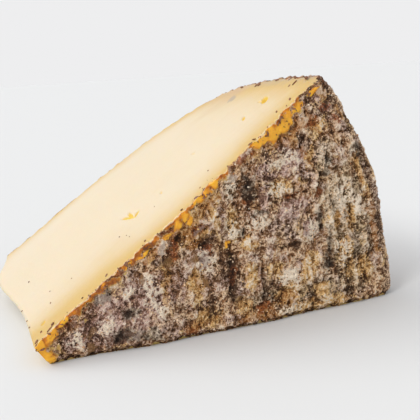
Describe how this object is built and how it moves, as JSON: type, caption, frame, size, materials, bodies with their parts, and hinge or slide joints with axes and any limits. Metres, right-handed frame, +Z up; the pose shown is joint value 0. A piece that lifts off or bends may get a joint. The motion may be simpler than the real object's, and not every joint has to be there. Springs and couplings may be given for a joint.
{
  "type": "washed rind cheese wedge",
  "caption": "Sector wedge cut from a small round washed rind cheese, with ivory paste and a mottled, mouldy brown and grey rind, lying on its lower cut face.",
  "frame": {"origin": "centre of the wedge's footprint box, on the plane that the lower cut rests on", "axes": "+X from the blunt tip (the wheel's middle) to the heel (the wheel's side), +Y from the near rind face to the far one, +Z up"},
  "size_m": [0.0962, 0.0918, 0.0586],
  "materials": {
    "cheese": "semi-matt ivory cheese paste on the cuts, dry mottled brown, grey and ochre mouldy rind on the wheel's faces and side"
  },
  "bodies": {
    "root": {"cheese_wedge": "cheese"}
  },
  "joints": []
}
